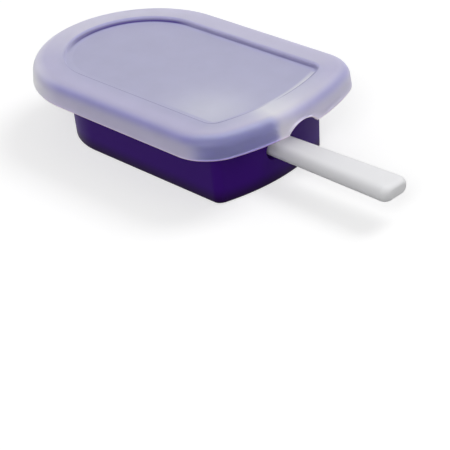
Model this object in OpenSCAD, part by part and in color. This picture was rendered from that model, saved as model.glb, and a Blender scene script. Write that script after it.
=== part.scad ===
// Stackable ice pop mold: a flexible tray with a rim, a translucent lift-off lid and a reusable stick.
// The origin is the centre of the tray's flat base. +X points to the stick end and +Z is up.

/* [Tray] */
// Length of the tray's base outline
tray_l = 91.4; // [80:0.2:106]
// Width of the tray's base outline
tray_w = 50.8; // [44:0.2:64]
// Height from the base to the sealing face of the rim
tray_h = 27.2; // [24:0.1:36]
// Thickness of the tray's side walls
wall = 2.2; // [1.6:0.1:3.4]
// Thickness of the tray's floor
floor_t = 2.2; // [1.6:0.1:3.4]
// Outward lean of the tray's walls, in degrees
draft = 1.5; // [0.5:0.25:3]
// Radius of the two vertical corners at the stick end
tray_corner_r = 3.4; // [2.4:0.2:8]
// Radius along the lower outside edge
base_r = 1; // [0.6:0.1:2]
// Radius of the two vertical corners inside the tray
pop_corner_r = 4.4; // [3.6:0.2:8]
// Radius where the inside walls meet the floor
pop_floor_r = 4; // [1.5:0.25:6]

/* [Outline] */
// Radius of the tray's slightly bowed stick end
tray_bow_r = 73; // [55:1:200]
// Radius of the lid's slightly bowed stick end
lid_bow_r = 81; // [60:1:200]

/* [Rim] */
// Distance from the tray's base outline to the lid's outline along the sides and round the nose
margin = 12.6; // [10.5:0.1:17]
// Distance from the tray's base outline to the lid's outline at the stick end
margin_end = 11.7; // [10:0.1:16]
// Thickness of the rim
rim_t = 2.2; // [1.4:0.1:3]
// Gap left between the rim and the lid
rim_clear = 0.3; // [0.2:0.05:0.6]
// Width of the flat top of the bead on the rim's outer edge
bead_w = 0.9; // [0.5:0.1:1.6]
// Width of the break in the rim above the stick
rim_gap = 19.4; // [15.6:0.2:26]
// Thickness of the apron that hangs from the rim at the stick end
apron_t = 2.2; // [1.2:0.1:3]
// How far the apron reaches back from the lid's stick end
apron_reach = 12; // [9:0.5:22]
// Radius under the rim where it meets the walls
rim_fillet = 1.2; // [0.4:0.1:2]

/* [Lid] */
// Thickness of the lid
lid_t = 1.8; // [1.2:0.1:2.4]
// Height of the lid from its lower lip to its top
lid_h = 8; // [7:0.1:9.4]
// Radius of the lid's upper outside edge
lid_edge_r = 4.6; // [3.4:0.1:5.2]
// Radius of the lid's vertical corners at the stick end
lid_corner_r = 15.8; // [10:0.2:24]
// Inward lean of the skirt from its lip to the start of its upper edge
skirt_lean = 0.35; // [0.1:0.05:0.8]
// Depth of the recess that the next mold's base stands in
nest_depth = 1.4; // [1:0.1:2.2]
// Gap left round the next mold's base in the recess
nest_clear = 0.8; // [0.3:0.05:1.2]
// Radius of the recess's lower and upper edges
nest_r = 0.5; // [0.2:0.05:0.6]
// Width of the arch in the skirt above the stick
arch_w = 14; // [11:0.2:15]
// Height of the arch in the skirt above the stick
arch_h = 3.3; // [1.5:0.1:3.6]

/* [Stick] */
// Height of the stick's middle above the tray's base
stick_z = 12.5; // [10:0.1:15]
// Width of the stick where it passes through the wall
stick_w = 10; // [8:0.1:12]
// Width of the stick's grip at its outer end
grip_w = 12.3; // [10.5:0.1:16]
// Thickness of the stick outside the tray
stick_t = 5.8; // [4.6:0.1:6.6]
// Thickness of the blade inside the tray
blade_t = 3.6; // [2.4:0.1:4.2]
// Length of the stick outside the tray's base outline
grip_l = 49.2; // [36:0.2:62]
// Length of the stick inside the tray's base outline
blade_l = 40; // [28:0.5:52]
// Radius of the grip's corners, seen from above
grip_corner_r = 2.9; // [2.2:0.1:4.2]
// Radius of the blade's corners, seen from above
blade_corner_r = 3.4; // [2:0.1:3.9]
// Diameter of the holes that ice keys into
key_d = 4.6; // [3:0.1:5.6]
// Distance between the middles of the two holes
key_pitch = 13; // [8:0.5:18]
// Distance from the blade's inner end to the middle of the first hole
key_start = 8; // [5:0.5:10]
// Gap left between the stick and its slot, on every side
slot_clear = 0.3; // [0.2:0.05:0.6]
// Width of the raised collar round the slot
collar_w = 1.6; // [0.8:0.1:2.4]
// How far the collar stands out from the wall
collar_out = 0.9; // [0.4:0.1:1.6]

/* [Hidden] */

// Small rounding on the lid's lip and the rim's lower edge
lip_r = 0.5;
// Overlap that makes a cut or a joined piece pass cleanly through a face
over = 1;
// Steps along the bowed end, a corner and the round nose
end_steps = 12;
corner_steps = 8;
nose_steps = 36;
// Steps along a rounded edge and along a quarter of the stick's section
edge_steps = 6;
section_steps = 4;

// Heights
panel_top = tray_h + lid_t;
lid_top = panel_top + nest_depth;
lip_z = lid_top - lid_h;
edge_z = lid_top - lid_edge_r;
rim_z = tray_h - rim_t;
// Distances inside the lid's outline
round_in = skirt_lean + lid_edge_r;
rim_in = lid_t + skirt_lean + rim_clear;
// Radii of the lid's inner edge and of the bead below it
inner_r = lid_edge_r - lid_t;
bead_r = inner_r - rim_clear;
// The floor's fillet stays inside the corner that it runs round
floor_fillet = min(pop_floor_r, pop_corner_r - 0.3);

// Outlines: [length, width, corner radius, radius of the bow, middle along X]
tray_o = [tray_l, tray_w, tray_corner_r, tray_bow_r, 0];
pop_o = [tray_l - 2*wall, tray_w - 2*wall, pop_corner_r, tray_bow_r, 0];
nest_o = [tray_l + 2*nest_clear, tray_w + 2*nest_clear, tray_corner_r + nest_clear, tray_bow_r, 0];
lid_o = [tray_l + margin + margin_end, tray_w + 2*margin, lid_corner_r, lid_bow_r,
    (margin_end - margin)/2];

// Centres of an outline's arcs. The nose is half a circle as wide as the outline, and the stick
// end has a shallow bow between two corner arcs, each tangent to the next.
function nose_x(o) = o[4] - o[0]/2 + o[1]/2;
function bow_x(o) = o[4] + o[0]/2 - o[3];
function corner_y(o) = o[1]/2 - o[2];
function corner_x(o) = bow_x(o) + sqrt(pow(o[3] - o[2], 2) - pow(corner_y(o), 2));
function bow_a(o) = atan2(corner_y(o), corner_x(o) - bow_x(o));

// Points on an arc round c from angle a0 to a1
function arc(c, r, a0, a1, n) = [for (i = [0:n]) let (a = a0 + (a1 - a0)*i/n) c + r*[cos(a), sin(a)]];

// The outline o moved inwards by d, anticlockwise from the stick end
function outline(o, d) = concat(
    arc([bow_x(o), 0], o[3] - d, -bow_a(o), bow_a(o), end_steps),
    arc([corner_x(o), corner_y(o)], o[2] - d, bow_a(o), 90, corner_steps),
    arc([nose_x(o), 0], o[1]/2 - d, 90, 270, nose_steps),
    arc([corner_x(o), -corner_y(o)], o[2] - d, 270, 360 - bow_a(o), corner_steps));

// The same outline without the doubled points where its arcs meet, at height z
function ring(o, d, z) = let (p = outline(o, d), n = len(p))
    [for (i = [0:n - 1]) if (norm(p[i] - p[(i + 1) % n]) > 0.001) [p[i].x, p[i].y, z]];

// How far the tray's walls have leaned out at height z
function lean(z) = -z*tan(draft);

// Steps of a rounded edge, as angles from 0 to 90
function quarter(n) = [for (i = [0:n]) 90*i/n];

// A solid through a list of rings, closed by a flat face at each end
module loft(rings) {
    n = len(rings[0]);
    m = len(rings);
    polyhedron(
        points = [for (r = rings) for (p = r) p],
        faces = concat(
            [[for (i = [0:n - 1]) i]],
            [for (j = [0:m - 2]) for (i = [0:n - 1])
                [j*n + i, (j + 1)*n + i, (j + 1)*n + (i + 1) % n, j*n + (i + 1) % n]],
            [[for (i = [n - 1:-1:0]) (m - 1)*n + i]]));
}

// A rounded rectangle w wide and t thick with corners of radius r
function section(w, t, r) = concat(
    arc([w/2 - r, t/2 - r], r, 0, 90, section_steps),
    arc([-w/2 + r, t/2 - r], r, 90, 180, section_steps),
    arc([-w/2 + r, -t/2 + r], r, 180, 270, section_steps),
    arc([w/2 - r, -t/2 + r], r, 270, 360, section_steps));

// The slot's section, the stick's own section enlarged by its clearance and by extra
function slot_section(extra) = let (g = 2*(slot_clear + extra))
    section(stick_w + g, stick_t + g, (stick_t + g)/2 - 0.05);

// The tray's outer skin, its rim and the inside that the pop freezes in, as one closed wall
module tray_shell() {
    loft(concat(
        [for (a = quarter(edge_steps)) ring(tray_o, base_r*(1 - sin(a)) + lean(base_r*(1 - cos(a))),
            base_r*(1 - cos(a)))],
        [for (a = quarter(3)) ring(tray_o, lean(rim_z) - rim_fillet*(1 - cos(a)),
            rim_z - rim_fillet*(1 - sin(a)))],
        [ring(lid_o, rim_in + lip_r, rim_z), ring(lid_o, rim_in, rim_z + lip_r)],
        [for (a = quarter(edge_steps)) ring(lid_o, round_in - bead_r*cos(a), edge_z + bead_r*sin(a))],
        [ring(lid_o, round_in + bead_w, edge_z + bead_r), ring(lid_o, round_in + bead_w + lip_r, tray_h)],
        [ring(pop_o, lean(tray_h) - lip_r, tray_h), ring(pop_o, lean(tray_h - lip_r), tray_h - lip_r)],
        [for (a = quarter(edge_steps)) ring(pop_o,
            lean(floor_t + floor_fillet*(1 - sin(a))) + floor_fillet*(1 - cos(a)),
            floor_t + floor_fillet*(1 - sin(a)))]));
}

// The rim's outer edge turned down to a little above the lid's lip, at the stick end only
module apron() {
    low = lip_z + lip_r;
    intersection() {
        difference() {
            translate([0, 0, low])
                linear_extrude(rim_z + rim_t/2 - low) polygon([for (p = ring(lid_o, rim_in, 0)) [p.x, p.y]]);
            translate([0, 0, low - over]) linear_extrude(rim_t + lid_h)
                polygon([for (p = ring(lid_o, rim_in + apron_t, 0)) [p.x, p.y]]);
        }
        translate([lid_o[4] + lid_o[0]/2 - apron_reach, -lid_o[1], 0])
            cube([apron_reach + over, 2*lid_o[1], lid_top]);
    }
}

// The tray, with the stick's slot through its wall and the break in its rim above the stick
module mold_body() color("#3b2170") difference() {
    wall_x = tray_l/2 - lean(stick_z);
    union() {
        tray_shell();
        apron();
        translate([wall_x - wall/2, 0, stick_z]) rotate([90, 0, 90])
            linear_extrude(wall/2 + collar_out) polygon(slot_section(collar_w));
    }
    translate([wall_x - 2*wall, 0, stick_z]) rotate([90, 0, 90])
        linear_extrude(3*wall + collar_out) polygon(slot_section(0));
    translate([tray_l/2 - lean(tray_h) + rim_fillet, -rim_gap/2, lip_z])
        cube([margin_end, rim_gap, lid_h]);
}

// The lid: a recessed panel, a raised channel over the rim and a skirt with an arch at the stick
module lid() color("#b9b7d8") difference() {
    arch_r = (pow(arch_w/2, 2) + pow(arch_h, 2))/(2*arch_h);
    loft(concat(
        [for (a = quarter(3)) ring(nest_o, nest_r*(1 - sin(a)), panel_top + nest_r*(1 - cos(a)))],
        [for (a = quarter(3)) ring(nest_o, -nest_r*(1 - cos(a)), lid_top - nest_r*(1 - sin(a)))],
        [for (a = quarter(edge_steps)) ring(lid_o, round_in - lid_edge_r*sin(a), edge_z + lid_edge_r*cos(a))],
        [for (a = quarter(3)) ring(lid_o, lip_r*(1 - cos(a)), lip_z + lip_r*(1 - sin(a)))],
        [for (a = quarter(3)) ring(lid_o, lid_t - lip_r*(1 - sin(a)), lip_z + lip_r*(1 - cos(a)))],
        [for (a = quarter(edge_steps)) ring(lid_o, round_in - inner_r*cos(a), edge_z + inner_r*sin(a))],
        [ring(nest_o, -lid_t, lid_top - lid_t), ring(nest_o, -lid_t, tray_h)]));
    translate([tray_l/2, 0, lip_z + arch_h - arch_r]) rotate([0, 90, 0])
        cylinder(r = arch_r, h = 2*margin_end, $fn = 96);
}

// Half the width of the grip at a distance s outside the tray, before its corners
function grip_half(s) = (stick_w + (grip_w - stick_w)*s/grip_l)/2;

// One section of the stick across X at x, w wide and t thick
function stick_ring(x, w, t) = [for (p = section(w, t, min(t, w)/2 - 0.05)) [x, p.x, stick_z + p.y]];

// The stick: a blade with two holes inside the tray and a widening grip with rounded ends outside
module stick() color("#eeeef1") difference() {
    x_in = tray_l/2 - blade_l;
    x_out = tray_l/2 + grip_l;
    x_step = tray_l/2 - 2*wall;
    half_turn = 0.45;
    loft(concat(
        [for (a = quarter(edge_steps)) stick_ring(x_in + blade_corner_r*(1 - sin(a)),
            stick_w - 2*blade_corner_r*(1 - cos(90 - a)), blade_t*(half_turn + (1 - half_turn)*sin(a)))],
        [stick_ring(x_step - 2*wall, stick_w, blade_t), stick_ring(x_step, stick_w, stick_t),
            stick_ring(tray_l/2, stick_w, stick_t)],
        [for (a = quarter(edge_steps)) stick_ring(x_out - grip_corner_r*(1 - sin(a)),
            2*grip_half(grip_l - grip_corner_r*(1 - sin(a))) - 2*grip_corner_r*(1 - cos(a)),
            stick_t*(half_turn + (1 - half_turn)*cos(a)))]));
    for (i = [0, 1]) translate([x_in + key_start + i*key_pitch, 0, stick_z - stick_t])
        cylinder(d = key_d, h = 2*stick_t, $fn = 48);
}

mold_body();
lid();
stick();
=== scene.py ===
"""A stackable ice pop mold: numpy surfaces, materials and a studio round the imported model.

Lengths are metres, as in the frame: +X points to the stick end, +Z is up, and the tray's base is
at the origin. Each surface is a profile of (inset, height) points carried round a flat outline.
"""

import math

import bpy
import numpy as np
from mathutils import Matrix, Vector


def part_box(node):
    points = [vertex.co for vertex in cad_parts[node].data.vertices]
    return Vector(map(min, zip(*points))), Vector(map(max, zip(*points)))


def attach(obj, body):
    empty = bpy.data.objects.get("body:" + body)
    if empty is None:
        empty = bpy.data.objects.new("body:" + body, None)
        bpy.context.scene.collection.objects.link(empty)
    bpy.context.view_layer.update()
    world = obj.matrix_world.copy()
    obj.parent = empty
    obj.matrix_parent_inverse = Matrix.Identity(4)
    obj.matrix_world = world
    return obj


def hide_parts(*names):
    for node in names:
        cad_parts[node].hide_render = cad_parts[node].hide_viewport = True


bl_info = {
    "name": "Ice pop mold",
    "version": (1, 0, 0),
    "blender": (4, 5, 0),
    "location": "View3D > Sidebar > Pop mold",
    "description": "Builds the tray, lid and stick of a stackable ice pop mold, and a studio",
    "category": "Object",
}

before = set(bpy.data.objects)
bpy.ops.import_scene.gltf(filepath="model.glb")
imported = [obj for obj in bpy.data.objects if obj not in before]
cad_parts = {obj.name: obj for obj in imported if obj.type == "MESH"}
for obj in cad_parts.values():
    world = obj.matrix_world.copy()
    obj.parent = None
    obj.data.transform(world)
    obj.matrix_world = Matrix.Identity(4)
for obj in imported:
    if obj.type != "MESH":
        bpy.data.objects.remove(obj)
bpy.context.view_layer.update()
STICK_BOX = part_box("stick")

MM = 0.001

# The rings that close a flat end, as shares of the way from its centre line to its outline.
CAP = (0.02, 0.3, 0.6, 0.85, 0.97)

# The lid's material slots.
OUTSIDE, INSIDE, PANEL, LIP = range(4)


class PopMoldSizes(bpy.types.PropertyGroup):
    """Sizes of the tray, the lid and the stick."""

    tray_length: bpy.props.FloatProperty(
        name="Tray length", description="Length of the tray's base", default=91.4 * MM, unit="LENGTH"
    )
    tray_width: bpy.props.FloatProperty(
        name="Tray width", description="Width of the tray's base", default=50.8 * MM, unit="LENGTH"
    )
    tray_height: bpy.props.FloatProperty(
        name="Tray height", description="Base to sealing face", default=27.2 * MM, unit="LENGTH"
    )
    wall: bpy.props.FloatProperty(
        name="Wall", description="Thickness of the tray's walls", default=2.2 * MM, unit="LENGTH"
    )
    draft: bpy.props.FloatProperty(
        name="Draft", description="Lean of the tray's walls", default=math.radians(1.5), unit="ROTATION"
    )
    lid_margin: bpy.props.FloatProperty(
        name="Lid margin", description="Lid beyond the tray's base", default=12.6 * MM, unit="LENGTH"
    )
    end_margin: bpy.props.FloatProperty(
        name="End margin", description="The same at the stick end", default=11.7 * MM, unit="LENGTH"
    )
    lid_height: bpy.props.FloatProperty(
        name="Lid height", description="Lip to top of the lid", default=8.0 * MM, unit="LENGTH"
    )
    lid_wall: bpy.props.FloatProperty(
        name="Lid wall", description="Thickness of the lid", default=1.8 * MM, unit="LENGTH"
    )
    lid_edge: bpy.props.FloatProperty(
        name="Lid edge", description="Radius of the lid's top edge", default=4.6 * MM, unit="LENGTH"
    )
    nest_depth: bpy.props.FloatProperty(
        name="Nest depth", description="Depth of the nesting recess", default=1.4 * MM, unit="LENGTH"
    )
    arch_width: bpy.props.FloatProperty(
        name="Arch width", description="Width of the arch in the skirt", default=14.0 * MM, unit="LENGTH"
    )
    arch_height: bpy.props.FloatProperty(
        name="Arch height", description="Height of the arch", default=3.3 * MM, unit="LENGTH"
    )
    stick_height: bpy.props.FloatProperty(
        name="Stick height", description="Its middle above the base", default=12.5 * MM, unit="LENGTH"
    )
    stick_width: bpy.props.FloatProperty(
        name="Stick width", description="Width where it passes the wall", default=10.0 * MM, unit="LENGTH"
    )
    grip_width: bpy.props.FloatProperty(
        name="Grip width", description="Width of the grip's end", default=12.3 * MM, unit="LENGTH"
    )
    stick_thickness: bpy.props.FloatProperty(
        name="Stick thickness", description="Thickness of the grip", default=5.8 * MM, unit="LENGTH"
    )


class PopMoldFinishes(bpy.types.PropertyGroup):
    """Colours of the materials, as sRGB hex values."""

    tray: bpy.props.StringProperty(name="Tray", description="Dark silicone", default="#3C0F78")
    # Painted shade: the tray's colour at its foot, darker than its own.
    tray_base_shade: bpy.props.StringProperty(name="Tray, foot", description="Its darkest", default="#24063E")
    lid: bpy.props.StringProperty(name="Lid", description="Frosted silicone, outside", default="#C9C6E9")
    lid_inside: bpy.props.StringProperty(name="Lid, inside", description="Its inside", default="#C8C6C0")
    lid_panel: bpy.props.StringProperty(name="Panel", description="Under the panel", default="#C0C8BE")
    # lid_wall here is the colour of a painted dark line at the recess's wall: painted shade.
    lid_wall: bpy.props.StringProperty(name="Recess wall", description="Seen edge-on", default="#38248C")
    # The lip's pale colour is painted light on top of its real glow; lip_shade is painted shade on it by
    # the apron.
    lip_painted_light: bpy.props.StringProperty(name="Lip", description="Where it glows", default="#FFE8FF")
    lip_shade: bpy.props.StringProperty(name="Lip, shaded", description="By the apron", default="#CAB0E0")
    # lid_bead and lid_apron: where the tray touches, its colour shows through; how strong that is round
    # the lid is partly painted shade.
    lid_bead: bpy.props.StringProperty(name="At the bead", description="Rubbed clear", default="#A8A7EE")
    lid_apron: bpy.props.StringProperty(name="At the apron", description="The same", default="#C0C6FA")
    # lid_milky: the pale colour of the lid's painted highlights and painted light.
    lid_milky: bpy.props.StringProperty(name="Milky", description="Denser silicone", default="#F8F8FC")
    stick: bpy.props.StringProperty(name="Stick", description="Moulded plastic", default="#F0F0F2")


class PopMoldStage(bpy.types.PropertyGroup):
    """Camera, fitted to the photograph: the image is 450 by 450."""

    azimuth: bpy.props.FloatProperty(
        name="Azimuth", description="Camera round the mold", default=math.radians(46.84), unit="ROTATION"
    )
    elevation: bpy.props.FloatProperty(
        name="Elevation", description="Camera above the mold", default=math.radians(31.46), unit="ROTATION"
    )
    roll: bpy.props.FloatProperty(
        name="Roll", description="Turn of the image", default=math.radians(-5.04), unit="ROTATION"
    )
    distance: bpy.props.FloatProperty(
        name="Distance", description="Camera to target", default=520.35 * MM, unit="LENGTH"
    )
    target: bpy.props.FloatVectorProperty(
        name="Target",
        description="Centre of the view",
        default=(16.02 * MM, 0.0, -29.44 * MM),
        unit="LENGTH",
    )
    focal_pixels: bpy.props.FloatProperty(
        name="Focal length", description="Focal length in pixels of the image", default=1458.3
    )
    image_pixels: bpy.props.IntProperty(name="Image", description="Width of the image", default=450)


def linear(hex_value):
    """RGBA of an sRGB hex value: each channel by the sRGB curve, c/12.92 or ((c + 0.055)/1.055)^2.4."""
    channels = np.array([int(hex_value[i : i + 2], 16) for i in (1, 3, 5)]) / 255
    curve = np.where(channels <= 0.04045, channels / 12.92, ((channels + 0.055) / 1.055) ** 2.4)
    return (*curve, 1.0)


def add_node(tree, kind, inputs=None, **settings):
    """Adds a node, sets its attributes, and fills its inputs with values or links them to sockets."""
    node = tree.nodes.new(kind)
    for key, value in settings.items():
        setattr(node, key, value)
    for key, value in (inputs or {}).items():
        if isinstance(value, bpy.types.NodeSocket):
            tree.links.new(value, node.inputs[key])
        else:
            node.inputs[key].default_value = value
    return node


def new_material(name):
    """An empty node material and its tree."""
    material = bpy.data.materials.new(name)
    material.use_nodes = True
    material.node_tree.nodes.clear()
    return material, material.node_tree


def arc(centre, radius, start, stop, steps):
    """Points c + r(cos a, sin a) and their outward normals, a from start to stop without the last."""
    angle = np.radians(np.linspace(start, stop, steps, endpoint=False))
    normal = np.stack([np.cos(angle), np.sin(angle)], 1)
    return np.asarray(centre) + radius * normal, normal


def line(start, stop, normal, steps):
    """Points from start to stop without the last, all with one outward normal."""
    share = np.linspace(0, 1, steps, endpoint=False)[:, None]
    points = np.asarray(start) * (1 - share) + np.asarray(stop) * share
    return points, np.tile(np.asarray(normal, float), (steps, 1))


class Outline:
    """A flat D shape: half a circle at the nose, straight sides and a shallow bow between two corners.

    Moved inwards by d it is p - d*n, since each stretch is an arc or a line and n its normal.
    """

    BOW, CORNER, SIDE, NOSE = 120, 20, 36, 120

    def __init__(self, length, width, corner, bow, middle=0.0):
        nose_x = middle - length / 2 + width / 2
        bow_x = middle + length / 2 - bow
        corner_y = width / 2 - corner
        corner_x = bow_x + math.sqrt((bow - corner) ** 2 - corner_y**2)
        turn = math.degrees(math.atan2(corner_y, corner_x - bow_x))
        stretches = [
            arc((bow_x, 0), bow, -turn, turn, self.BOW),
            arc((corner_x, corner_y), corner, turn, 90, self.CORNER),
            line((corner_x, width / 2), (nose_x, width / 2), (0, 1), self.SIDE),
            arc((nose_x, 0), width / 2, 90, 270, self.NOSE),
            line((nose_x, -width / 2), (corner_x, -width / 2), (0, -1), self.SIDE),
            arc((corner_x, -corner_y), corner, 270, 360 - turn, self.CORNER),
        ]
        self.points = np.concatenate([p for p, n in stretches])
        self.normals = np.concatenate([n for p, n in stretches])

    def ring(self, inset, height):
        """The outline moved inwards by inset, at height. Both may be a number or one per point."""
        inset = np.broadcast_to(inset, len(self.points))[:, None]
        height = np.broadcast_to(height, len(self.points))[:, None]
        return np.hstack([self.points - inset * self.normals, height])

    def cap(self, inset, height, shares):
        """Rings between the centre line and the outline at inset: edge * share + middle * (1 - share).

        The centre line runs from half of the nose's x to 0.8 of the stick end's.
        """
        edge = self.points - inset * self.normals
        spine = np.clip(edge[:, :1], edge[:, 0].min() * 0.5, edge[:, 0].max() * 0.8)
        middle = np.hstack([spine, np.zeros_like(spine)])
        flat = [edge * share + middle * (1 - share) for share in shares]
        return [np.hstack([p, np.full((len(p), 1), height)]) for p in flat]


def quarter(steps):
    """Angles from 0 to 90 degrees, in radians."""
    return np.linspace(0, math.pi / 2, steps + 1)


def loft(name, rings, bands=(), marks=None):
    """A closed mesh through the rings: quads between neighbours, and a face at each end.

    Each band is (first ring, last ring, material slot): the faces between those rings get the slot,
    and the face at the start gets that of the band from ring 0. Each mark is an array with one number
    or one colour per point, kept in the mesh under its name.
    """
    grid = np.array(rings)
    rows, columns = grid.shape[:2]
    index = np.arange(rows * columns).reshape(rows, columns)
    here, ahead = index, np.roll(index, -1, 1)
    quads = np.stack([here[:-1], ahead[:-1], ahead[1:], here[1:]], -1).reshape(-1, 4)
    corners = np.concatenate([quads.ravel(), index[0][::-1], index[-1]])
    sizes = np.concatenate([np.full(len(quads), 4), [columns, columns]])
    mesh = bpy.data.meshes.new(name)
    mesh.vertices.add(rows * columns)
    mesh.vertices.foreach_set("co", grid.reshape(-1).astype(np.float32))
    mesh.loops.add(len(corners))
    mesh.loops.foreach_set("vertex_index", corners.astype(np.int32))
    mesh.polygons.add(len(sizes))
    mesh.polygons.foreach_set("loop_start", (np.cumsum(sizes) - sizes).astype(np.int32))
    slots = np.zeros(len(sizes), np.int32)
    for first, last, slot in bands:
        slots[first * columns : last * columns] = slot
        if first == 0:
            slots[len(quads)] = slot
    mesh.polygons.foreach_set("material_index", slots)
    for mark, values in (marks or {}).items():
        kind, field = ("FLOAT", "value") if values.ndim == 2 else ("FLOAT_COLOR", "color")
        attribute = mesh.attributes.new(mark, kind, "POINT")
        attribute.data.foreach_set(field, values.astype(np.float32).ravel())
    mesh.update(calc_edges=True)
    mesh.validate()
    piece = bpy.data.objects.new(name, mesh)
    bpy.context.scene.collection.objects.link(piece)
    return piece


def smooth(piece, sharp_degrees=35):
    """Smooth shading, kept sharp where faces meet at more than the angle."""
    mesh = piece.data
    mesh.polygons.foreach_set("use_smooth", np.ones(len(mesh.polygons), bool))
    mesh.set_sharp_from_angle(angle=math.radians(sharp_degrees))
    mesh.update()


def cut(piece, tools):
    """Takes the tools out of the piece with boolean cuts, and removes them."""
    for tool in tools:
        modifier = piece.modifiers.new("cut", "BOOLEAN")
        modifier.operation = "DIFFERENCE"
        modifier.solver = "EXACT"
        modifier.object = tool
    depsgraph = bpy.context.evaluated_depsgraph_get()
    result = bpy.data.meshes.new_from_object(piece.evaluated_get(depsgraph))
    piece.modifiers.clear()
    piece.data = result
    for tool in tools:
        bpy.data.objects.remove(tool)


def capsule(width, thickness, steps=12):
    """A rectangle's points, anticlockwise, with corners c + r(cos a, sin a).

    The radius r leaves a flat of 0.1 mm between two corners, so that no two points coincide.
    """
    half_flat = 0.05 * MM
    radius = min(width, thickness) / 2 - half_flat
    away_y, away_z = width / 2 - radius, thickness / 2 - radius
    angle = quarter(steps)
    turns = [angle, angle + math.pi / 2, angle + math.pi, angle + 1.5 * math.pi]
    centres = [(away_y, away_z), (-away_y, away_z), (-away_y, -away_z), (away_y, -away_z)]
    corners = []
    for (y, z), a in zip(centres, turns):
        corners.append(np.stack([y + radius * np.cos(a), z + radius * np.sin(a)], 1))
    return np.concatenate(corners)


def prism(name, sections, height):
    """A closed solid along X: each pair of section (y, z) and x gives a ring, its middle at height."""
    rings = [np.stack([np.full(len(yz), x), yz[:, 0], yz[:, 1] + height], 1) for yz, x in sections]
    return loft(name, rings)


def shapes(s):
    """The outlines and heights that the tray and the lid share.

    The lid's panel lies a lid wall above the tray, and its top the recess's depth higher. The lip is
    the lid's height below the top, and the round top edge ends round_in from the outline.
    """
    length, width = s.tray_length, s.tray_width
    nest_gap = 0.8 * MM
    tray_bow = 73 * MM
    lid_bow = 81 * MM
    middle = (s.end_margin - s.lid_margin) / 2
    panel = s.tray_height + s.lid_wall
    top = panel + s.nest_depth
    lean = 0.35 * MM
    return {
        "tray": Outline(length, width, corner=3.4 * MM, bow=tray_bow),
        "pop": Outline(length - 2 * s.wall, width - 2 * s.wall, corner=4.4 * MM, bow=tray_bow),
        "nest": Outline(length + 2 * nest_gap, width + 2 * nest_gap, corner=4.2 * MM, bow=tray_bow),
        "lid": Outline(
            length + s.lid_margin + s.end_margin,
            width + 2 * s.lid_margin,
            corner=15.8 * MM,
            bow=lid_bow,
            middle=middle,
        ),
        "panel": panel,
        "top": top,
        "lip": top - s.lid_height,
        "edge": top - s.lid_edge,
        "skirt_lean": lean,
        "round_in": lean + s.lid_edge,
        "press": 0.05 * MM,
        "inner": s.lid_edge - s.lid_wall,
        "lip_round": 0.5 * MM,
    }


def ease(value):
    """0 below 0, 1 above 1, and 3v^2 - 2v^3 between."""
    value = np.clip(value, 0, 1)
    return value * value * (3 - 2 * value)


def bell(value, peak, spread):
    """A bell curve, exp(-((value - peak)/spread)^2)."""
    return np.exp(-(((value - peak) / spread) ** 2))


def between(start, end, shares):
    """Rings on the straight way from start to end: start * (1 - t) + end * t for each share t."""
    return [start * (1 - t) + end * t for t in shares]


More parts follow.
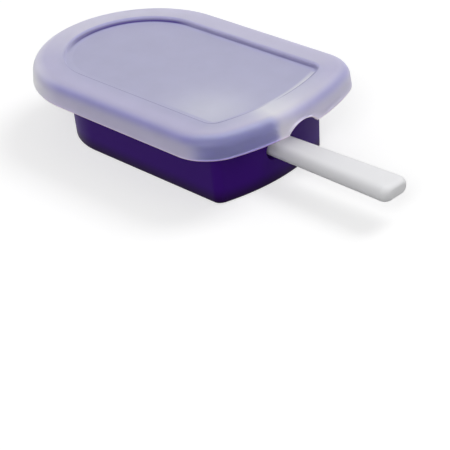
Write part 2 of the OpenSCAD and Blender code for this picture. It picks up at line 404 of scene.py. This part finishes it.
def tray_rings(s, g):
    """The tray's skin from the middle of its base, up the wall, round the rim and down inside.

    The walls lean: a ring at height z lies z tan(draft) outside its outline. A round of radius r
    steps by r(1 - cos a) one way and by r(1 - sin a) the other. The rim's underside is level but for
    the stick end, where the bead grows and the edge hangs down behind the lid's skirt as an apron. On
    top of the bead is a level land, which slides down to the sealing face.
    """
    tray, pop, lid, press = g["tray"], g["pop"], g["lid"], g["press"]
    slope = math.tan(s.draft)
    base = 1.0 * MM
    fillet = 1.2 * MM
    hollow = 4.0 * MM
    edge_round = 0.5 * MM
    flange = 2.2 * MM
    side_bead = 1.9 * MM
    end_bead = 2.75 * MM
    apron = 2.2 * MM
    apron_start = 16 * MM
    apron_run = 5 * MM
    above_lip = 0.5 * MM
    land = 0.3 * MM
    slide = 1.2 * MM
    rim = s.tray_height - flange
    face = s.tray_height - press
    share = ease((lid.points[:, 0] - lid.points[:, 0].max() + apron_start) / apron_run)
    bead = side_bead + (end_bead - side_bead) * share
    offset = (g["inner"] - press - bead) * math.sqrt(0.5)
    bead_top = g["edge"] + offset + bead
    rim_in = s.lid_wall + g["skirt_lean"] + press
    rim_low = rim_in - g["skirt_lean"] * share
    low = rim - press - share * (rim - press - g["lip"] - above_lip)
    rings = tray.cap(base, 0, CAP)
    for a in quarter(6):
        z = base * (1 - math.cos(a))
        rings.append(tray.ring(base * (1 - math.sin(a)) - z * slope, z))
    for z in np.linspace(base, rim - fillet, 10)[1:-1]:
        rings.append(tray.ring(-z * slope, z))
    for a in quarter(6):
        inset = -rim * slope - fillet * (1 - math.cos(a))
        rings.append(tray.ring(inset, rim - fillet * (1 - math.sin(a))))
    hang = lid.ring(rim_in + apron, rim)
    rings += between(rings[-1], hang, (0.35, 0.7, 0.95, 1))
    for a in quarter(4):
        inset = rim_in + apron - edge_round * (1 - math.cos(a))
        rings.append(lid.ring(inset, low + edge_round * (1 - math.sin(a)) * share))
    for a in quarter(4):
        inset = rim_low + edge_round * (1 - math.sin(a))
        rings.append(lid.ring(inset, low + edge_round * (1 - math.cos(a))))
    for a in quarter(8):
        inset = g["round_in"] - offset - bead * math.cos(a)
        rings.append(lid.ring(inset, g["edge"] + offset + bead * math.sin(a)))
    rings.append(lid.ring(g["round_in"] + land, bead_top))
    for a in quarter(4)[1:]:
        drop = (bead_top - face) * (1 - math.cos(a))
        rings.append(lid.ring(g["round_in"] + land + slide * math.sin(a), bead_top - drop))
    mouth = pop.ring(-s.tray_height * slope - edge_round, face)
    rings += between(rings[-1], mouth, (0.3, 0.65, 0.95))
    for a in quarter(4):
        z = face - edge_round * (1 - math.cos(a))
        rings.append(pop.ring(-z * slope - edge_round * (1 - math.sin(a)), z))
    for z in np.linspace(s.tray_height - edge_round, s.wall + hollow, 10)[1:-1]:
        rings.append(pop.ring(-z * slope, z))
    for a in quarter(10):
        z = s.wall + hollow * (1 - math.sin(a))
        rings.append(pop.ring(-z * slope + hollow * (1 - math.cos(a)), z))
    return rings + pop.cap(hollow - s.wall * slope, s.wall, CAP[::-1])


def by_turn(outline, turns, values):
    """A number per point of the outline, read between pairs of turn (degrees from +X) and value."""
    turn = np.degrees(np.arctan2(outline.normals[:, 1], outline.normals[:, 0]))
    return np.interp(turn, turns, values)


def lid_runs(nest, lid):
    """How strong each look of the lid is round it, as a number from 0 to 1 per point of an outline.

    bead: where the tray's bead touches; its strength round the lid, strong on the near side and none
    on the far side, is partly painted shade. wall: a painted dark line, painted shade at the foot of
    the recess's wall, where it is seen edge-on. edge: a thinner painted dark line at its upper edge.
    foot_highlight: a painted highlight, the bright line at its foot. end: a broad painted highlight on
    the flat rim. side: painted light on the skirt.
    """
    return {
        # Where the bead touches; its strength round the lid, strong on the near side, is partly painted
        # shade.
        "bead": by_turn(
            lid,
            turns=(-180, -135, -115, -100, -90, -80, -20, -11, -6, 0, 8, 25, 90, 180),
            values=(0, 0, 0.1, 0.5, 0.85, 1, 1, 0.9, 0.15, 0.4, 0.6, 0.45, 0, 0),
        ),
        # Painted shade: the dark line at the recess's wall, and a thinner one at its upper edge.
        "wall": by_turn(
            nest,
            turns=(-180, -165, -152, -140, 5, 60, 90, 105, 160, 180),
            values=(0.95, 0.75, 0.3, 0, 0, 0.45, 0.65, 1, 1, 0.95),
        ),
        "edge": by_turn(
            nest,
            turns=(-180, -120, -90, -20, -8, -3, 2, 16, 20, 180),
            values=(0, 0, 0.5, 0.9, 0.3, 0, 0.5, 0.6, 0, 0),
        ),
        "foot_highlight": by_turn(
            nest,
            turns=(-180, -8, -2, 14, 18, 25, 180),
            values=(0, 0, 0.7, 0.8, 0.5, 0, 0),
        ),
        # Painted light: a broad painted highlight on the flat rim (end) and painted light on the skirt
        # (side).
        "end": by_turn(
            lid,
            turns=(-180, -150, -130, -90, -75, -60, -20, -12, -7, -2, 4, 12, 20, 60, 120, 180),
            values=(0.4, 0.2, 0, 0, 0, 0.1, 0.1, 0.25, 0.8, 0.65, 0.4, 0.2, 0, 0.1, 0.3, 0.4),
        ),
        "side": by_turn(
            lid,
            turns=(-180, -150, -120, -105, -92, -11, -7, -3, 1, 8, 90, 180),
            values=(0.6, 1, 1, 0.5, 0.15, 0, 0.7, 0.6, 0.2, 0.45, 0.4, 0.6),
        ),
    }


def apron_share(lid):
    """Where the tray's apron lies behind the skirt: 1 at the near corner of the stick end.

    It eases in over 8 mm of length, stops 9.5 mm from the middle, where the arch is, and is faint on
    the far side. Where it lies the skirt shows the tray through it, and its strength round the lid is
    partly painted shade: strongest at the near corner.
    """
    start = 17.5 * MM
    start_run = 8 * MM
    stop = 9.5 * MM
    stop_run = 3.5 * MM
    far_side = 0.1
    x, y = lid.points.T
    share = ease((x - x.max() + start) / start_run) * ease((np.abs(y) - stop) / stop_run)
    return share * np.where(y > 0, far_side, 1)


def arched_lip(s, g):
    """The lip's height at each point: level, and an arc of the arch's width and height at the stick.

    The arc's radius is (w^2/4 + h^2)/2h.
    """
    x, y = g["lid"].points.T
    radius = ((s.arch_width / 2) ** 2 + s.arch_height**2) / (2 * s.arch_height)
    rise = np.sqrt(np.maximum(radius**2 - y**2, 0)) - (radius - s.arch_height)
    return g["lip"] + np.where(x > 0, np.maximum(rise, 0), 0)


def lid_rings(s, g):
    """The lid's skin from under its panel, round the channel and the lip, to the recess's middle.

    Returns the rings, the bands of finishes, and four marks, each a share from 0 to 1 per point: bead
    and apron, where the tray touches, with painted shade in how strong they are round the lid;
    deep, painted dark lines at the recess's wall and a painted darker tone on the panel; and
    milky, painted highlights and light, whose share falls evenly up the round edge for the
    skirt and comes in from 45 to 85 degrees for the rim.
    """
    nest, lid = g["nest"], g["lid"]
    top, edge, panel, lip_round = g["top"], g["edge"], g["panel"], g["lip_round"]
    soft = 0.5 * MM
    brim = 0.3 * MM
    run = lid_runs(nest, lid)
    apron = apron_share(lid)
    lip = arched_lip(s, g)
    skirt = lip + lip_round - edge
    rings = nest.cap(-s.lid_wall, s.tray_height, CAP)
    marks = {"bead": {}, "apron": {}, "deep": {}, "milky": {}}

    def add(ring, **shares):
        """Adds a ring, with its share of each mark that is named."""
        for mark, share in shares.items():
            marks[mark][len(rings)] = share
        rings.append(ring)

    def touch(up):
        """The shares of bead and apron on the round edge, up degrees from the skirt.

        The bead's is a bell curve 42 degrees up and 20 wide. The apron's fades from 52 to 84.
        """
        return {"bead": run["bead"] * bell(up, 42, 20), "apron": apron * ease((84 - up) / 32)}

    add(nest.ring(-s.lid_wall, s.tray_height))
    under_panel = len(rings) - 1
    add(nest.ring(-s.lid_wall, (s.tray_height + top - s.lid_wall) / 2))
    for a in quarter(12)[::-1]:
        ring = lid.ring(g["round_in"] - g["inner"] * math.cos(a), edge + g["inner"] * math.sin(a))
        add(ring, **touch(math.degrees(a)))
    for t in (0.25, 0.5, 0.75):
        add(lid.ring(s.lid_wall + g["skirt_lean"] * (1 - t), edge + skirt * t), apron=apron)
    lip_first = len(rings)
    for a in quarter(4)[::-1]:
        inset = s.lid_wall - lip_round * (1 - math.sin(a))
        add(lid.ring(inset, lip + lip_round * (1 - math.cos(a))), apron=apron)
    for a in quarter(4)[::-1]:
        inset = lip_round * (1 - math.cos(a))
        add(lid.ring(inset, lip + lip_round * (1 - math.sin(a))), apron=apron)
    lip_last = len(rings) - 1
    # The lip's skin starts half way round its inner edge.
    lip_skin = lip_first + 2
    # Painted light on the lip's outer edge and on the skirt above it.
    marks["milky"][lip_last] = run["side"]
    for t in (0.75, 0.5, 0.25):
        add(lid.ring(g["skirt_lean"] * (1 - t), edge + skirt * t), apron=apron, milky=run["side"])
    for a in quarter(14)[::-1]:
        up = 90 - math.degrees(a)
        ring = lid.ring(g["round_in"] - s.lid_edge * math.sin(a), edge + s.lid_edge * math.cos(a))
        milky = run["side"] * (1 - up / 90) + run["end"] * ease((up - 45) / 40)
        add(ring, milky=milky, **touch(up))
    for ring in between(rings[-1], nest.ring(-soft - brim, top), (0.25, 0.5, 0.75, 1)):
        add(ring, milky=run["end"])
    # Down the recess's wall the painted dark line, painted shade, grows: to 0.3 of its run round the
    # upper edge, and from 0.7 to all of it round the foot. The bead's tint, painted here too, softens it
    # above and below.
    for a in quarter(5)[::-1]:
        ring = nest.ring(-soft * (1 - math.cos(a)), top - soft * (1 - math.sin(a)))
        deep = np.maximum(run["wall"] * 0.3 * (1 - math.sin(a)), run["edge"])
        add(ring, deep=deep, bead=run["wall"] * 0.6, milky=run["end"])
    for a in quarter(5)[::-1]:
        ring = nest.ring(soft * (1 - math.sin(a)), panel + soft * (1 - math.cos(a)))
        add(ring, deep=run["wall"] * (0.7 + 0.3 * math.cos(a)))
    # The panel next to the recess's wall: millimetres from it, share of the painted dark line (painted
    # shade) and of the foot_highlight (a painted highlight). The bead's tint here is painted too.
    foot = ((0.25, 1, 0.5), (0.5, 1, 1), (0.8, 0.45, 1), (1.1, 0.1, 0.9), (1.6, 0, 0.7), (2.1, 0, 0.2))
    for out, line_share, streak_share in foot:
        add(
            nest.ring(soft + out * MM, panel),
            deep=run["wall"] * line_share,
            bead=run["wall"] * 0.4 * (1 - line_share) * streak_share,
            milky=run["foot_highlight"] * streak_share,
        )
    # Painted light: a pale patch 28 mm across on the panel, near the near corner of the stick end.
    # Painted shade: a darker tone that comes in over 60 mm away from it.
    patch_x = 33 * MM
    patch_y = -19 * MM
    patch = 14 * MM
    far = 60 * MM
    for ring in nest.cap(soft + foot[-1][0] * MM, panel, np.linspace(0.97, 0.02, 14)):
        away = np.hypot(ring[:, 0] - patch_x, ring[:, 1] - patch_y)
        add(ring, milky=0.35 * bell(away, 0, patch), deep=0.07 * ease(away / far))
    bands = [(0, under_panel, PANEL), (under_panel, lip_skin, INSIDE), (lip_skin, lip_last, LIP)]
    shares = {mark: np.zeros((len(rings), len(lid.points))) for mark in marks}
    for mark, rows in marks.items():
        shares[mark][list(rows)] = list(rows.values())
    return rings, bands, shares


def moved(value, *steps):
    """The value moved towards each target in turn, by each share: value(1 - share) + target share."""
    for share, target in steps:
        value = value * (1 - share) + target * share
    return value


def moved_colour(colour, *steps):
    """The same with hex colours, as linear RGBA at each point."""
    linear_steps = [(share[..., None], np.array(linear(target))) for share, target in steps]
    return moved(np.array(linear(colour)), *linear_steps)


def lid_marks(finishes, bead, apron, deep, milky):
    """What the lid's skins read at each point: two colours, and the share of light that gets in.

    Each is its plain value, moved towards the value of each mark by that mark's share. deep
    paints shade into the tone; milky paints light into it and lowers the share of light that
    gets in. The lip's pale colour is painted light, and lip_shade, where the apron is, painted shade.
    """
    f = finishes
    return {
        "tone": moved_colour(
            f.lid, (milky, f.lid_milky), (deep, f.lid_wall), (bead, f.lid_bead), (apron, f.lid_apron)
        ),
        "lip_tone": moved_colour(f.lip_painted_light, (apron, f.lip_shade)),
        "clear_outside": moved(0.64, (milky, 0.38), (bead, 0.66), (apron, 0.72)),
        "clear_inside": moved(0.35, (bead, 0.65), (apron, 0.95)),
    }


def moulding_grain(tree, strength):
    """A fine bump: the even grain that a blasted steel mould leaves, drawn 0.4 mm across to show."""
    place = add_node(tree, "ShaderNodeTexCoord")
    grain = add_node(
        tree, "ShaderNodeTexNoise", {"Vector": place.outputs["Object"], "Scale": 2500.0, "Detail": 2.0}
    )
    bump = add_node(
        tree,
        "ShaderNodeBump",
        {"Height": grain.outputs["Fac"], "Strength": strength, "Distance": 0.1 * MM},
    )
    return bump.outputs["Normal"]


def purple_silicone(colour, foot):
    """Compression-moulded silicone rubber, pigmented: a dark, saturated colour with a satin skin.

    Its colour is painted darker towards the foot, over the lowest 6 mm: painted shade at the base.
    """
    material, tree = new_material("purple_silicone")
    place = add_node(tree, "ShaderNodeTexCoord")
    height = add_node(tree, "ShaderNodeSeparateXYZ", {"Vector": place.outputs["Object"]})
    # Painted shade: from the foot's darker colour to the tray's own over the lowest 6 mm.
    rise = add_node(
        tree,
        "ShaderNodeMapRange",
        {"Value": height.outputs["Z"], "From Max": 6 * MM},
        interpolation_type="SMOOTHSTEP",
    )
    # Sockets of the node's colour mode, by number because its other modes have the same names.
    colour_a, colour_b, mixed = 6, 7, 2
    tone = add_node(
        tree,
        "ShaderNodeMix",
        {"Factor": rise.outputs["Result"], colour_a: linear(foot), colour_b: linear(colour)},
        data_type="RGBA",
    )
    shader = add_node(
        tree,
        "ShaderNodeBsdfPrincipled",
        {
            "Base Color": tone.outputs[mixed],
            "Roughness": 0.42,
            "IOR": 1.41,
            "Specular IOR Level": 0.1,
            "Normal": moulding_grain(tree, strength=0.08),
        },
    )
    add_node(tree, "ShaderNodeOutputMaterial", {"Surface": shader.outputs["BSDF"]})
    return material


def clouded(tree, colour):
    """The colour made up to 3 % darker and 2 % lighter in clouds 9 mm across, left by the moulding."""
    place = add_node(tree, "ShaderNodeTexCoord")
    cloud = add_node(
        tree, "ShaderNodeTexNoise", {"Vector": place.outputs["Object"], "Scale": 110.0, "Detail": 3.0}
    )
    light = add_node(
        tree,
        "ShaderNodeMapRange",
        {
            "Value": cloud.outputs["Fac"],
            "From Min": 0.3,
            "From Max": 0.7,
            "To Min": 0.97,
            "To Max": 1.02,
        },
    )
    cloudy = add_node(
        tree, "ShaderNodeVectorMath", {0: colour, "Scale": light.outputs["Result"]}, operation="SCALE"
    )
    return cloudy.outputs["Vector"]


def less_at_slant(tree, clear):
    """The share of light that gets in: clear face on, less at a slant, none edge-on.

    With f from 0 face on to 1 edge-on, it is clear * (1 - f^2.5).
    """
    slant = add_node(tree, "ShaderNodeLayerWeight", {"Blend": 0.5})
    curve = add_node(tree, "ShaderNodeMath", {0: slant.outputs["Facing"], 1: 2.5}, operation="POWER")
    share = add_node(
        tree, "ShaderNodeMapRange", {"Value": curve.outputs[0], "To Min": clear, "To Max": 0.0}
    )
    return share.outputs["Result"]


def frosted_skin(tree, colour, clear, rough=0.6, passing=0.8, glow=0.0):
    """One skin of the lid. Light gets in by the share clear, and lamps shine through it by passing.

    A skin with a glow also spreads light inside itself, 1 mm far.
    """
    shader = add_node(
        tree,
        "ShaderNodeBsdfPrincipled",
        {
            "Base Color": colour,
            "Roughness": rough,
            "IOR": 1.41,
            "Transmission Weight": clear,
            "Subsurface Weight": glow,
            "Subsurface Radius": (1.0, 1.0, 1.0),
            "Subsurface Scale": 1.0 * MM,
            "Normal": moulding_grain(tree, strength=0.08),
        },
    )
    rays = add_node(tree, "ShaderNodeLightPath")
    passed = add_node(tree, "ShaderNodeBsdfTransparent", {"Color": (passing, passing, passing, 1.0)})
    both = add_node(
        tree,
        "ShaderNodeMixShader",
        {0: rays.outputs["Is Shadow Ray"], 1: shader.outputs["BSDF"], 2: passed.outputs["BSDF"]},
    )
    add_node(tree, "ShaderNodeOutputMaterial", {"Surface": both.outputs["Shader"]})


def frosted_silicone(finishes):
    """Unpigmented silicone from a blasted mould: light passes, but it scatters, so things blur.

    The outside skin is a fine frost, which hides more when it is seen at a slant. Its colour carries a
    violet painted dark line at the recess's wall, painted shade, and paler painted highlights and light.
    The inside skins are a coarser one, which turns most light back. Both are rubbed clear where the
    tray's bead and apron touch, so the tray's colour shows there; how strong that is round the lid is
    partly painted shade. The lip is thin enough to glow with the light that runs down the skirt; its
    pale colour adds painted light, and it is painted darker above the apron: painted shade.
    """
    outside, tree = new_material("frosted_silicone_outside")
    tone = add_node(tree, "ShaderNodeAttribute", attribute_name="tone").outputs["Color"]
    clear = add_node(tree, "ShaderNodeAttribute", attribute_name="clear_outside").outputs["Fac"]
    frosted_skin(tree, clouded(tree, tone), less_at_slant(tree, clear), rough=0.42, passing=0.92)
    inside, tree = new_material("frosted_silicone_inside")
    clear = add_node(tree, "ShaderNodeAttribute", attribute_name="clear_inside").outputs["Fac"]
    frosted_skin(tree, linear(finishes.lid_inside), clear)
    panel, tree = new_material("frosted_silicone_panel")
    frosted_skin(tree, linear(finishes.lid_panel), clear=0.5)
    lip, tree = new_material("frosted_silicone_lip")
    tone = add_node(tree, "ShaderNodeAttribute", attribute_name="lip_tone").outputs["Color"]
    frosted_skin(tree, tone, clear=0.0, rough=0.5, glow=1.0)
    return {OUTSIDE: outside, INSIDE: inside, PANEL: panel, LIP: lip}


def white_polypropylene(colour):
    """Injection-moulded polypropylene: an opaque white with a satin skin."""
    material, tree = new_material("white_polypropylene")
    shader = add_node(
        tree,
        "ShaderNodeBsdfPrincipled",
        {
            "Base Color": linear(colour),
            "Roughness": 0.5,
            "IOR": 1.49,
            "Specular IOR Level": 0.3,
            "Normal": moulding_grain(tree, strength=0.06),
            "Subsurface Weight": 0.2,
            "Subsurface Radius": (1.0, 1.0, 1.0),
            "Subsurface Scale": 1.0 * MM,
        },
    )
    add_node(tree, "ShaderNodeOutputMaterial", {"Surface": shader.outputs["BSDF"]})
    return material


class POPMOLD_OT_tray(bpy.types.Operator):
    """Build the tray with its rim, apron and slot"""

    bl_idname = "popmold.tray"
    bl_label = "Build the tray"

    def execute(self, context):
        scene = context.scene
        s = scene.popmold_sizes
        g = shapes(s)
        tray = loft("tray_shell", tray_rings(s, g))
        cut(tray, [*self.slot_cutters(s), self.gap_cutter(s, g)])
        smooth(tray)
        finishes = scene.popmold_finishes
        tray.data.materials.append(purple_silicone(finishes.tray, finishes.tray_base_shade))
        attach(tray, "tray")
        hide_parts("mold_body")
        return {"FINISHED"}

    def slot_cutters(self, s):
        """The hole through the end wall, round the stick, and the shallow funnel that leads into it."""
        clear = 0.3 * MM
        hole_in, hole_out = 4.4 * MM, 4 * MM
        funnel_in, funnel_out = 2.1 * MM, 0.4 * MM
        flare_width, flare_depth = 3.4 * MM, 1.2 * MM
        wall_x = s.tray_length / 2 + s.stick_height * math.tan(s.draft)
        width = s.stick_width + 2 * clear
        depth = s.stick_thickness + 2 * clear
        slot = capsule(width, depth)
        flare = capsule(width + flare_width, depth + flare_depth)
        hole = prism("hole", [(slot, wall_x - hole_in), (slot, wall_x + hole_out)], s.stick_height)
        sections = [(slot, wall_x - funnel_in), (flare, wall_x + funnel_out)]
        funnel = prism("funnel", sections, s.stick_height)
        return hole, funnel

    def gap_cutter(self, s, g):
        """The square gap in the rim and its apron above the stick, where the lid's arch is."""
        half = 9.7 * MM
        start, length = 1.2 * MM, 14 * MM
        wall_x = s.tray_length / 2 + s.tray_height * math.tan(s.draft)
        square = np.array([(-1, -1), (1, -1), (1, 1), (-1, 1)]) * half
        sections = [(square, wall_x + start), (square, wall_x + start + length)]
        return prism("gap", sections, g["lip"] + half)


class POPMOLD_OT_lid(bpy.types.Operator):
    """Build the lid with its recess, channel, skirt and arch"""

    bl_idname = "popmold.lid"
    bl_label = "Build the lid"

    def execute(self, context):
        scene = context.scene
        s = scene.popmold_sizes
        finishes = scene.popmold_finishes
        rings, bands, shares = lid_rings(s, shapes(s))
        lid = loft("lid_shell", rings, bands, lid_marks(finishes, **shares))
        smooth(lid)
        skins = frosted_silicone(finishes)
        for slot in (OUTSIDE, INSIDE, PANEL, LIP):
            lid.data.materials.append(skins[slot])
        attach(lid, "cover")
        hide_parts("lid")
        return {"FINISHED"}


class POPMOLD_OT_stick(bpy.types.Operator):
    """Build the stick with its grip, blade and holes"""

    bl_idname = "popmold.stick"
    bl_label = "Build the stick"

    def execute(self, context):
        scene = context.scene
        s = scene.popmold_sizes
        sections = [(capsule(width, thickness), x) for x, width, thickness in self.sections(s)]
        stick = prism("pop_stick", sections, s.stick_height)
        cut(stick, self.key_holes(s))
        smooth(stick)
        stick.data.materials.append(white_polypropylene(scene.popmold_finishes.stick))
        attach(stick, "stick")
        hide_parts("stick")
        return {"FINISHED"}

    def sections(self, s):
        """Its (x, width, thickness) from the blade's end to the grip's.

        The blade is even and thickens in front of the wall. The grip widens evenly from there. Each
        end is rounded off by r(1 - sin a) in length and r(1 - cos a) in width on both sides, and
        thins to 0.45 of its thickness.
        """
        blade = 3.6 * MM
        blade_round, grip_round = 3.4 * MM, 2.9 * MM
        thin = 0.45
        x_in, x_out = STICK_BOX[0].x, STICK_BOX[1].x
        x_wall = s.tray_length / 2
        x_step = x_wall - 2 * s.wall
        spread = (s.grip_width - s.stick_width) / (x_out - x_wall)
        sections = []
        for a in quarter(10):
            width = s.stick_width - 2 * blade_round * (1 - math.sin(a))
            x = x_in + blade_round * (1 - math.cos(a))
            sections.append((x, width, blade * (thin + (1 - thin) * math.sin(a))))
        sections.append((x_step - 2 * s.wall, s.stick_width, blade))
        sections.append((x_step, s.stick_width, s.stick_thickness))
        for x in np.linspace(x_wall, x_out - grip_round, 16):
            sections.append((x, s.stick_width + spread * (x - x_wall), s.stick_thickness))
        for a in quarter(10)[1:]:
            x = x_out - grip_round * (1 - math.sin(a))
            width = s.stick_width + spread * (x - x_wall) - 2 * grip_round * (1 - math.cos(a))
            sections.append((x, width, s.stick_thickness * (thin + (1 - thin) * math.cos(a))))
        return sections

    def key_holes(self, s):
        """Upright cylinders (r cos a, r sin a) for the blade's holes, 8 and 21 mm from its end."""
        radius = 2.3 * MM
        reach = s.stick_thickness
        angle = np.radians(np.linspace(0, 360, 48, endpoint=False))
        circle = np.stack([np.cos(angle), np.sin(angle), np.zeros_like(angle)], 1) * radius
        holes = []
        for along in (8 * MM, 21 * MM):
            middle = circle + (STICK_BOX[0].x + along, 0, s.stick_height)
            holes.append(loft("key_hole", [middle - (0, 0, reach), middle + (0, 0, reach)]))
        return holes


def seen_ray(tree):
    """1 for camera, glossy and transmission rays, 0 for the rays that carry light."""
    rays = add_node(tree, "ShaderNodeLightPath")
    seen = rays.outputs["Is Camera Ray"]
    for kind in ("Is Glossy Ray", "Is Transmission Ray"):
        either = add_node(tree, "ShaderNodeMath", {0: seen, 1: rays.outputs[kind]}, operation="MAXIMUM")
        seen = either.outputs[0]
    return seen


class POPMOLD_OT_stage(bpy.types.Operator):
    """Set up the floor, the lights, the world and the camera"""

    bl_idname = "popmold.stage"
    bl_label = "Set up the stage"

    def execute(self, context):
        scene = context.scene
        self.camera(scene)
        self.floor(scene)
        self.world(scene)
        self.lamps(scene)
        scene.view_settings.view_transform = "Standard"
        return {"FINISHED"}

    def camera(self, scene):
        """Looks at the target from the azimuth and elevation, and turns about its own axis by roll."""
        view = scene.popmold_stage
        a, e = view.azimuth, view.elevation
        back = Vector((math.sin(a) * math.cos(e), -math.cos(a) * math.cos(e), math.sin(e)))
        right = Vector((math.cos(a), math.sin(a), 0))
        up = back.cross(right)
        turned_right = right * math.cos(view.roll) + up * math.sin(view.roll)
        turned_up = up * math.cos(view.roll) - right * math.sin(view.roll)
        data = bpy.data.cameras.new("camera")
        data.sensor_width = 36
        data.lens = view.focal_pixels * data.sensor_width / view.image_pixels
        data.clip_start, data.clip_end = 0.01, 20
        camera = bpy.data.objects.new("camera", data)
        turn = Matrix((turned_right, turned_up, back)).transposed()
        place = Vector(view.target) + back * view.distance
        camera.matrix_world = Matrix.Translation(place) @ turn.to_4x4()
        scene.collection.objects.link(camera)
        scene.camera = camera

    def floor(self, scene):
        """A wide plane. Camera, glossy and transmission rays see it white, with the shadow kept.

        It lies 0.02 mm under the base, so that the two faces don't mix. Its glow for seen rays grows
        with the distance, as the lamps' light falls off, so it runs into the white of the sky.
        """
        mesh = bpy.data.meshes.new("floor")
        half, low = 3.0, -0.02 * MM
        corners = [(-half, -half, low), (half, -half, low), (half, half, low), (-half, half, low)]
        mesh.from_pydata(corners, [], [(0, 1, 2, 3)])
        floor = bpy.data.objects.new("floor", mesh)
        scene.collection.objects.link(floor)
        material, tree = new_material("floor_paper")
        seen = seen_ray(tree)
        tone = add_node(tree, "ShaderNodeMapRange", {"Value": seen, "To Min": 0.34, "To Max": 0.6})
        place = add_node(tree, "ShaderNodeTexCoord")
        away = add_node(tree, "ShaderNodeVectorMath", {0: place.outputs["Object"]}, operation="LENGTH")
        far_glow = add_node(
            tree,
            "ShaderNodeMapRange",
            {
                "Value": away.outputs["Value"],
                "From Min": 0.1,
                "From Max": 1.3,
                "To Min": 0.52,
                "To Max": 0.9,
            },
        )
        glow = add_node(
            tree,
            "ShaderNodeMapRange",
            {"Value": seen, "To Min": 0.0, "To Max": far_glow.outputs["Result"]},
        )
        paper = add_node(
            tree, "ShaderNodeBsdfDiffuse", {"Color": tone.outputs["Result"], "Roughness": 0.5}
        )
        light = add_node(
            tree, "ShaderNodeEmission", {"Color": (1, 1, 1, 1), "Strength": glow.outputs["Result"]}
        )
        both = add_node(
            tree, "ShaderNodeAddShader", {0: paper.outputs["BSDF"], 1: light.outputs["Emission"]}
        )
        add_node(tree, "ShaderNodeOutputMaterial", {"Surface": both.outputs["Shader"]})
        mesh.materials.append(material)

    def world(self, scene):
        """A pale even sky, white where it is seen directly, in gloss or through the lid."""
        world = bpy.data.worlds.new("studio")
        world.use_nodes = True
        tree = world.node_tree
        tree.nodes.clear()
        strength = add_node(
            tree, "ShaderNodeMapRange", {"Value": seen_ray(tree), "To Min": 0.36, "To Max": 1.0}
        )
        sky = add_node(
            tree, "ShaderNodeBackground", {"Color": (1, 1, 1, 1), "Strength": strength.outputs["Result"]}
        )
        add_node(tree, "ShaderNodeOutputWorld", {"Surface": sky.outputs["Background"]})
        scene.world = world

    def lamps(self, scene):
        """Soft boxes: one above and behind the mold, one beside the camera, a weak one at the nose."""
        boxes = [
            ("overhead", (0.32, 0.5, 0.85), 0.55, 4.4),
            ("front", (0.48, -0.72, 0.6), 0.45, 2.9),
            ("left", (-0.85, -0.12, 0.4), 0.5, 1.2),
        ]
        target = Vector((0, 0, 0.01))
        for name, place, size, watts in boxes:
            light = bpy.data.lights.new(name, "AREA")
            light.shape = "DISK"
            light.size = size
            light.energy = watts
            lamp = bpy.data.objects.new(name, light)
            lamp.location = place
            lamp.rotation_euler = (target - Vector(place)).to_track_quat("-Z", "Y").to_euler()
            scene.collection.objects.link(lamp)


class POPMOLD_PT_panel(bpy.types.Panel):
    """The mold's pieces and sizes"""

    bl_idname = "POPMOLD_PT_panel"
    bl_label = "Pop mold"
    bl_space_type = "VIEW_3D"
    bl_region_type = "UI"
    bl_category = "Pop mold"

    def draw(self, context):
        layout = self.layout
        for operator in OPERATORS:
            layout.operator(operator.bl_idname)
        for name in GROUPS:
            group = getattr(context.scene, name)
            box = layout.box()
            for key in group.bl_rna.properties.keys():
                if key not in ("rna_type", "name"):
                    box.prop(group, key)


OPERATORS = (POPMOLD_OT_tray, POPMOLD_OT_lid, POPMOLD_OT_stick, POPMOLD_OT_stage)
GROUPS = {
    "popmold_sizes": PopMoldSizes,
    "popmold_finishes": PopMoldFinishes,
    "popmold_stage": PopMoldStage,
}


def register():
    """Registers the classes and hangs the property groups on the scene."""
    for cls in (*GROUPS.values(), *OPERATORS, POPMOLD_PT_panel):
        bpy.utils.register_class(cls)
    for key, group in GROUPS.items():
        setattr(bpy.types.Scene, key, bpy.props.PointerProperty(type=group))


def unregister():
    """Takes them off again."""
    for key in GROUPS:
        delattr(bpy.types.Scene, key)
    for cls in (POPMOLD_PT_panel, *reversed(OPERATORS), *reversed(list(GROUPS.values()))):
        bpy.utils.unregister_class(cls)


def main():
    """Builds everything in order."""
    register()
    bpy.ops.popmold.tray()
    bpy.ops.popmold.lid()
    bpy.ops.popmold.stick()
    bpy.ops.popmold.stage()
    bpy.context.view_layer.update()


if __name__ == "__main__":
    main()
